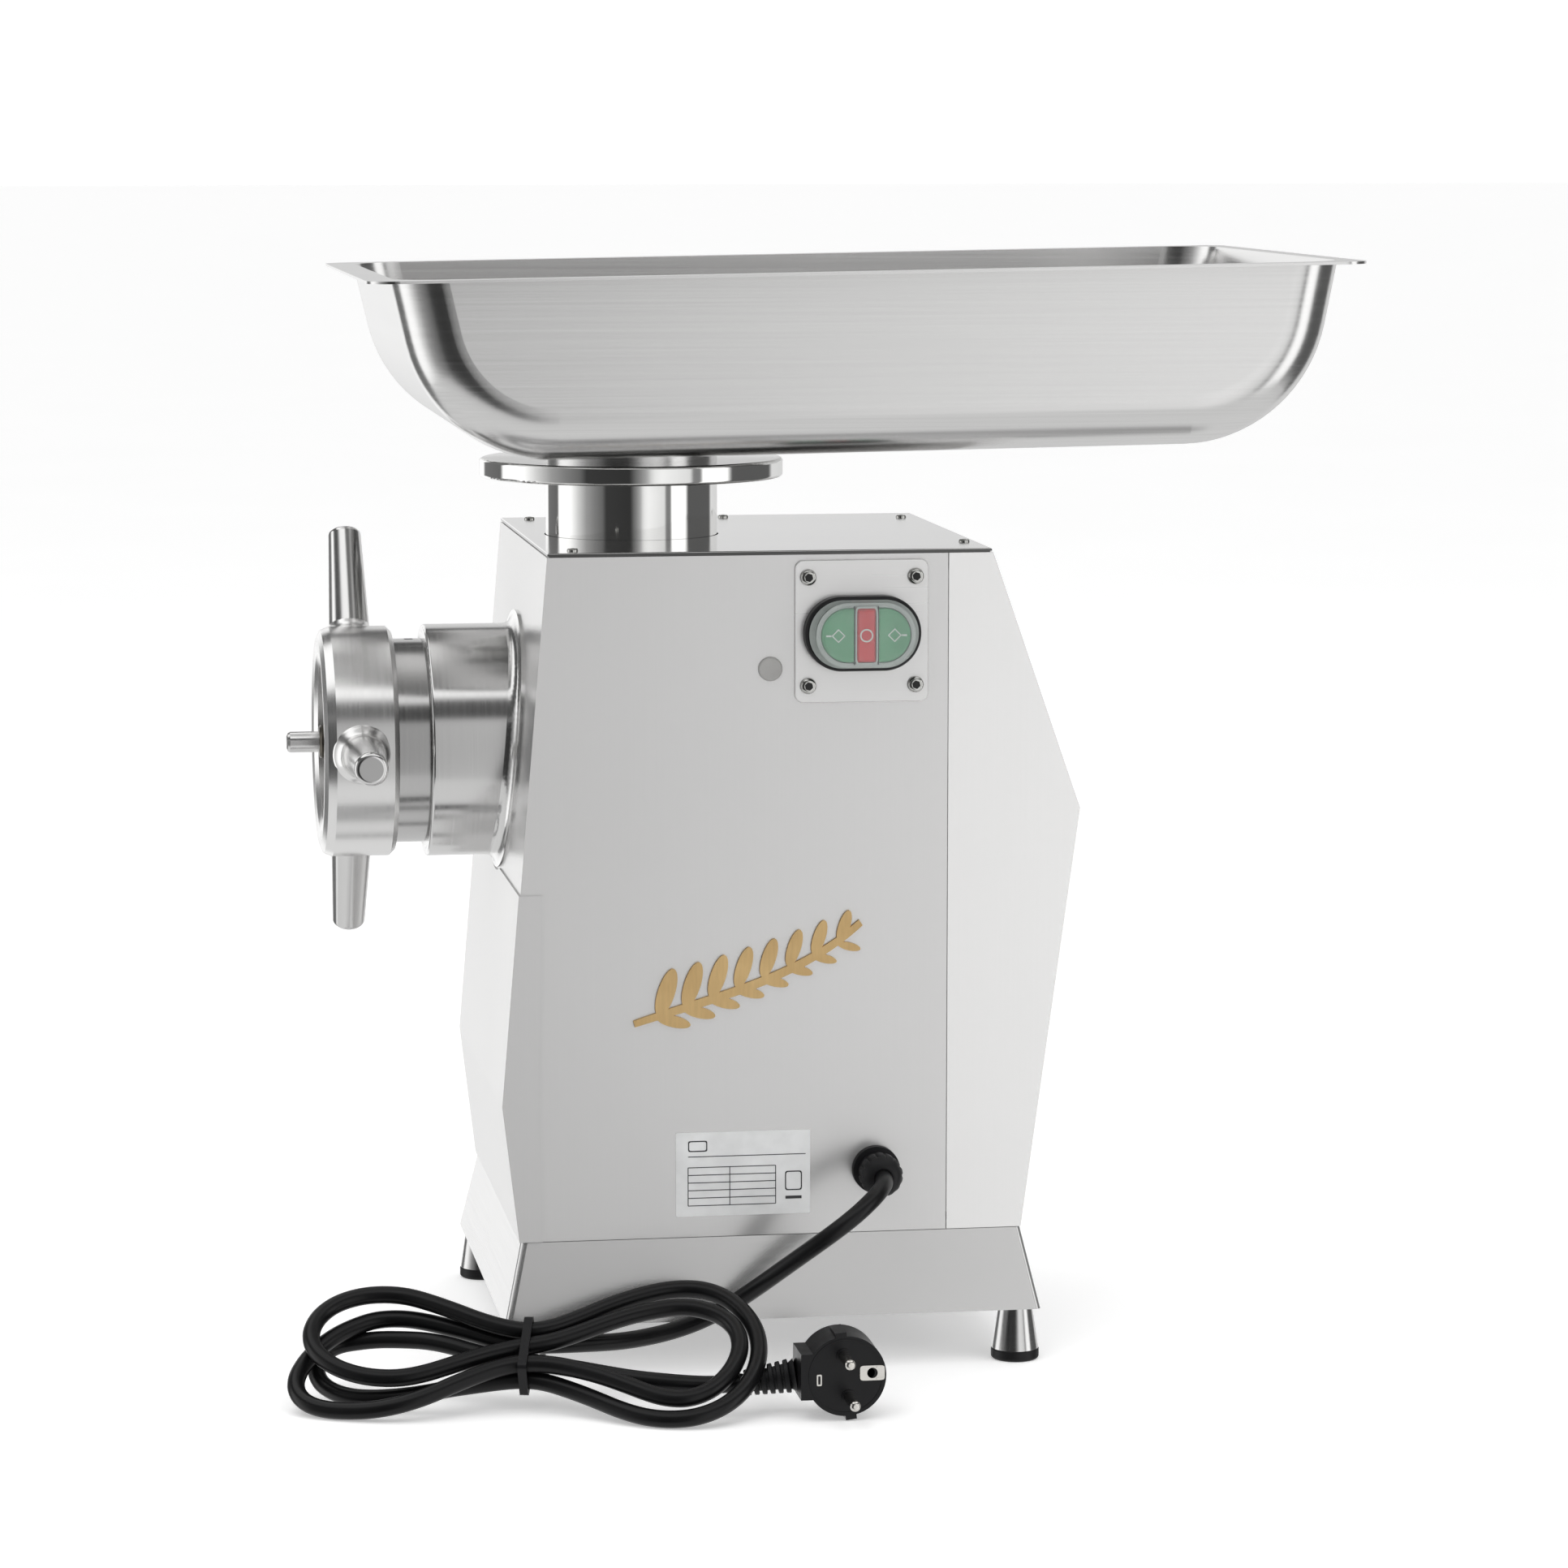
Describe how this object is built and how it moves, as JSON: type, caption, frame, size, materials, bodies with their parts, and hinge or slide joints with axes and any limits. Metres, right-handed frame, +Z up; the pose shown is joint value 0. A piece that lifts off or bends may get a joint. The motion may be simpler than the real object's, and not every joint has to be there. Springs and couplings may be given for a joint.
{
  "type": "electric meat grinder",
  "caption": "Countertop electric meat grinder with a tapered sheet-steel housing, side-facing grinding head, three-handled ring nut and a wide feed tray.",
  "frame": {"origin": "on the floor, under the centre of the machine's bounding box, the mains lead left out", "axes": "+Z up; the grinding head points along -X; the control side faces -Y"},
  "size_m": [0.4972, 0.38, 0.5137],
  "materials": {
    "brushed_sheet": "vertical satin brushing",
    "tray_sheet": "satin, brushed along its length",
    "polished_steel": "polished",
    "turned_steel": "satin turned",
    "inner_steel": "machined",
    "cast_aluminium": "as cast",
    "bronze": "machined",
    "black_rubber": "matt",
    "black_plastic": "moulded",
    "cord_jacket": "smooth PVC",
    "grey_plastic": "moulded",
    "clear_silicone": "clear, slightly milky",
    "green_key": "moulded",
    "red_key": "moulded",
    "gold_leaf": "satin gold",
    "label_film": "printed film",
    "copper": "enamelled winding",
    "plated_pins": "nickel plated"
  },
  "bodies": {
    "root": {"plinth": "brushed_sheet", "base_plate": "inner_steel", "main_casing": "brushed_sheet", "rear_cover": "brushed_sheet", "top_plate": "brushed_sheet", "casing_screws": "polished_steel", "lower_front_panel": "brushed_sheet", "foot_cups": "turned_steel", "foot_pads": "black_rubber", "receiver_sleeve": "turned_steel", "grinding_barrel": "turned_steel", "control_plate": "brushed_sheet", "station_bezel": "black_plastic", "button_boot": "clear_silicone", "contact_block": "black_plastic", "hole_plug": "grey_plastic", "rating_label": "label_film", "emblem": "gold_leaf", "gearbox_case": "cast_aluminium", "gearbox_cover": "cast_aluminium", "gearbox_bolts": "inner_steel", "gearbox_bearings": "inner_steel", "shaft_seal": "black_rubber", "motor_housing": "cast_aluminium", "motor_stator": "copper", "motor_end_bells": "cast_aluminium", "motor_bearings": "inner_steel", "fan_cowl": "inner_steel", "run_capacitor": "cast_aluminium", "terminal_block": "grey_plastic", "cable_gland": "black_rubber", "gland_cap": "black_rubber", "gland_locknut": "inner_steel", "cord_lead": "cord_jacket", "cord_hank": "cord_jacket", "cord_tie": "black_plastic", "cord_tail": "cord_jacket", "plug_body": "black_plastic", "plug_pins": "plated_pins", "plug_strain_relief": "black_rubber"},
    "auger_group": {"auger": "inner_steel", "auger_stud": "turned_steel", "knife": "inner_steel", "output_shaft": "inner_steel", "output_gear": "inner_steel"},
    "layshaft": {"lay_shaft": "inner_steel", "lay_wheel": "inner_steel"},
    "rotor": {"motor_rotor": "inner_steel", "motor_pinion": "inner_steel", "motor_fan": "black_plastic"},
    "outlet_plate": {"mincing_plate": "inner_steel", "plate_bush": "bronze"},
    "ring": {"ring_nut": "turned_steel", "ring_handles": "turned_steel"},
    "hopper": {"hopper_tray": "tray_sheet", "hopper_disc": "polished_steel", "hopper_neck": "polished_steel"},
    "reverse_key": {"button_reverse": "green_key"},
    "stop_key": {"button_stop": "red_key"},
    "forward_key": {"button_forward": "green_key"}
  },
  "joints": [
    {"name": "auger_spin", "type": "hinge", "parent": "root", "child": "auger_group", "pos_m": [-0.1, 0, 0.285], "axis": [1, 0, 0], "continuous": true},
    {"name": "layshaft_spin", "type": "hinge", "parent": "root", "child": "layshaft", "pos_m": [0.02, 0, 0.21125], "axis": [1, 0, 0], "continuous": true},
    {"name": "rotor_spin", "type": "hinge", "parent": "root", "child": "rotor", "pos_m": [-0.06, 0, 0.15325], "axis": [1, 0, 0], "continuous": true},
    {"name": "ring_turn", "type": "hinge", "parent": "outlet_plate", "child": "ring", "pos_m": [-0.21, 0, 0.285], "axis": [1, 0, 0], "range_deg": [0, 1080]},
    {"name": "plate_draw", "type": "slide", "parent": "root", "child": "outlet_plate", "axis": [-1, 0, 0], "range_m": [0, 0.0125]},
    {"name": "hopper_lift", "type": "slide", "parent": "root", "child": "hopper", "axis": [0, 0, 1], "range_m": [0, 0.1]},
    {"name": "reverse_press", "type": "slide", "parent": "root", "child": "reverse_key", "axis": [0, 1, 0], "range_m": [0, 0.003], "stiffness_N_per_m": 500, "springref_m": -0.001},
    {"name": "stop_press", "type": "slide", "parent": "root", "child": "stop_key", "axis": [0, 1, 0], "range_m": [0, 0.003], "stiffness_N_per_m": 500, "springref_m": -0.001},
    {"name": "forward_press", "type": "slide", "parent": "root", "child": "forward_key", "axis": [0, 1, 0], "range_m": [0, 0.003], "stiffness_N_per_m": 500, "springref_m": -0.001}
  ],
  "couplings": [
    {"joint": "layshaft_spin", "follows": "auger_spin", "ratio": -2.9333},
    {"joint": "rotor_spin", "follows": "auger_spin", "ratio": 9.219},
    {"joint": "plate_draw", "follows": "ring_turn", "m_per_rad": 0.00063662}
  ]
}
